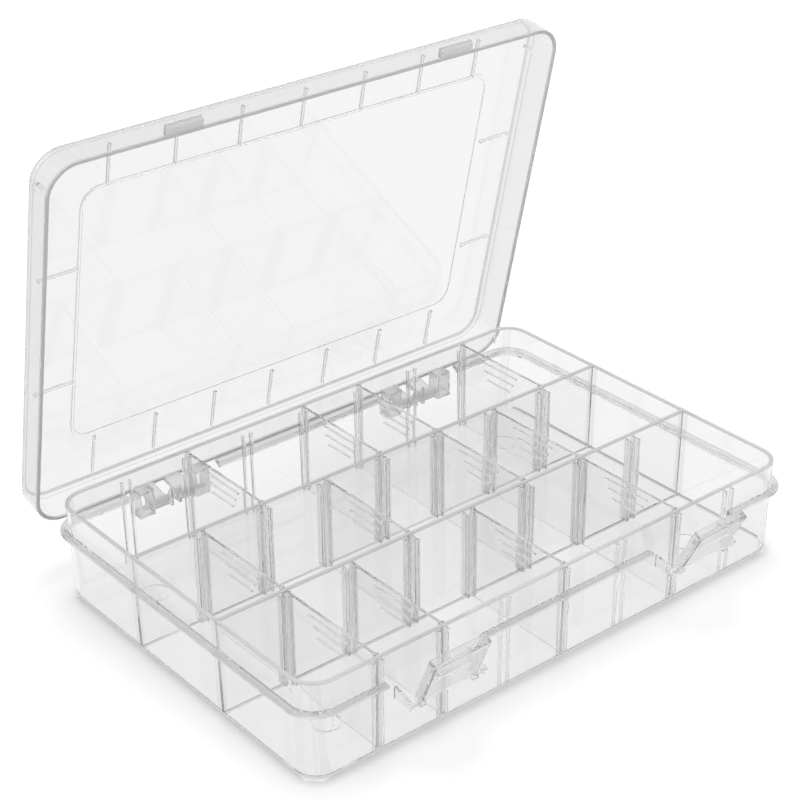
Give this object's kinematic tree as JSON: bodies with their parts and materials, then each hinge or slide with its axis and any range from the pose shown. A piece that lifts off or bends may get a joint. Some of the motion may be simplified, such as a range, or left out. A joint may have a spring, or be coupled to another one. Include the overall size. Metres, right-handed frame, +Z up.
{
  "type": "compartment box",
  "caption": "Clear plastic organizer box with lift-out dividers, a hinged lid and front snap latches for sorting beads and small parts.",
  "frame": {"origin": "centre of the tray's base, on the plane that it stands on", "axes": "+X to the right along the latch side, +Y towards the hinges, +Z up"},
  "size_m": [0.275, 0.2326, 0.2149],
  "materials": {
    "clear_plastic": "gloss"
  },
  "bodies": {
    "tray": {"tray": "clear_plastic"},
    "lid": {"lid": "clear_plastic"},
    "latch_left": {"latch_left": "clear_plastic"},
    "latch_right": {"latch_right": "clear_plastic"},
    "divider_back_2": {"divider_back_2": "clear_plastic"},
    "divider_back_4": {"divider_back_4": "clear_plastic"},
    "divider_back_5": {"divider_back_5": "clear_plastic"},
    "divider_back_7": {"divider_back_7": "clear_plastic"},
    "divider_middle_1": {"divider_middle_1": "clear_plastic"},
    "divider_middle_3": {"divider_middle_3": "clear_plastic"},
    "divider_middle_5": {"divider_middle_5": "clear_plastic"},
    "divider_middle_6": {"divider_middle_6": "clear_plastic"},
    "divider_front_1": {"divider_front_1": "clear_plastic"},
    "divider_front_2": {"divider_front_2": "clear_plastic"},
    "divider_front_4": {"divider_front_4": "clear_plastic"},
    "divider_front_6": {"divider_front_6": "clear_plastic"}
  },
  "joints": [
    {"name": "lid_hinge", "type": "hinge", "parent": "tray", "child": "lid", "pos_m": [0, 0.09484, 0.02295], "axis": [-1, 0, 0], "range_deg": [-77, 28]},
    {"name": "latch_left_pivot", "type": "hinge", "parent": "tray", "child": "latch_left", "pos_m": [-0.0729, -0.10007, 0.0245], "axis": [1, 0, 0], "range_deg": [-23, 87]},
    {"name": "latch_right_pivot", "type": "hinge", "parent": "tray", "child": "latch_right", "pos_m": [0.0729, -0.10007, 0.0245], "axis": [1, 0, 0], "range_deg": [-27, 83]},
    {"name": "divider_back_2_lift", "type": "slide", "parent": "tray", "child": "divider_back_2", "axis": [0, 0, 1], "range_m": [0, 0.0455]},
    {"name": "divider_back_4_lift", "type": "slide", "parent": "tray", "child": "divider_back_4", "axis": [0, 0, 1], "range_m": [0, 0.0455]},
    {"name": "divider_back_5_lift", "type": "slide", "parent": "tray", "child": "divider_back_5", "axis": [0, 0, 1], "range_m": [0, 0.0455]},
    {"name": "divider_back_7_lift", "type": "slide", "parent": "tray", "child": "divider_back_7", "axis": [0, 0, 1], "range_m": [0, 0.0455]},
    {"name": "divider_middle_1_lift", "type": "slide", "parent": "tray", "child": "divider_middle_1", "axis": [0, 0, 1], "range_m": [0, 0.0455]},
    {"name": "divider_middle_3_lift", "type": "slide", "parent": "tray", "child": "divider_middle_3", "axis": [0, 0, 1], "range_m": [0, 0.0455]},
    {"name": "divider_middle_5_lift", "type": "slide", "parent": "tray", "child": "divider_middle_5", "axis": [0, 0, 1], "range_m": [0, 0.0455]},
    {"name": "divider_middle_6_lift", "type": "slide", "parent": "tray", "child": "divider_middle_6", "axis": [0, 0, 1], "range_m": [0, 0.0455]},
    {"name": "divider_front_1_lift", "type": "slide", "parent": "tray", "child": "divider_front_1", "axis": [0, 0, 1], "range_m": [0, 0.0455]},
    {"name": "divider_front_2_lift", "type": "slide", "parent": "tray", "child": "divider_front_2", "axis": [0, 0, 1], "range_m": [0, 0.0455]},
    {"name": "divider_front_4_lift", "type": "slide", "parent": "tray", "child": "divider_front_4", "axis": [0, 0, 1], "range_m": [0, 0.0455]},
    {"name": "divider_front_6_lift", "type": "slide", "parent": "tray", "child": "divider_front_6", "axis": [0, 0, 1], "range_m": [0, 0.0455]}
  ]
}
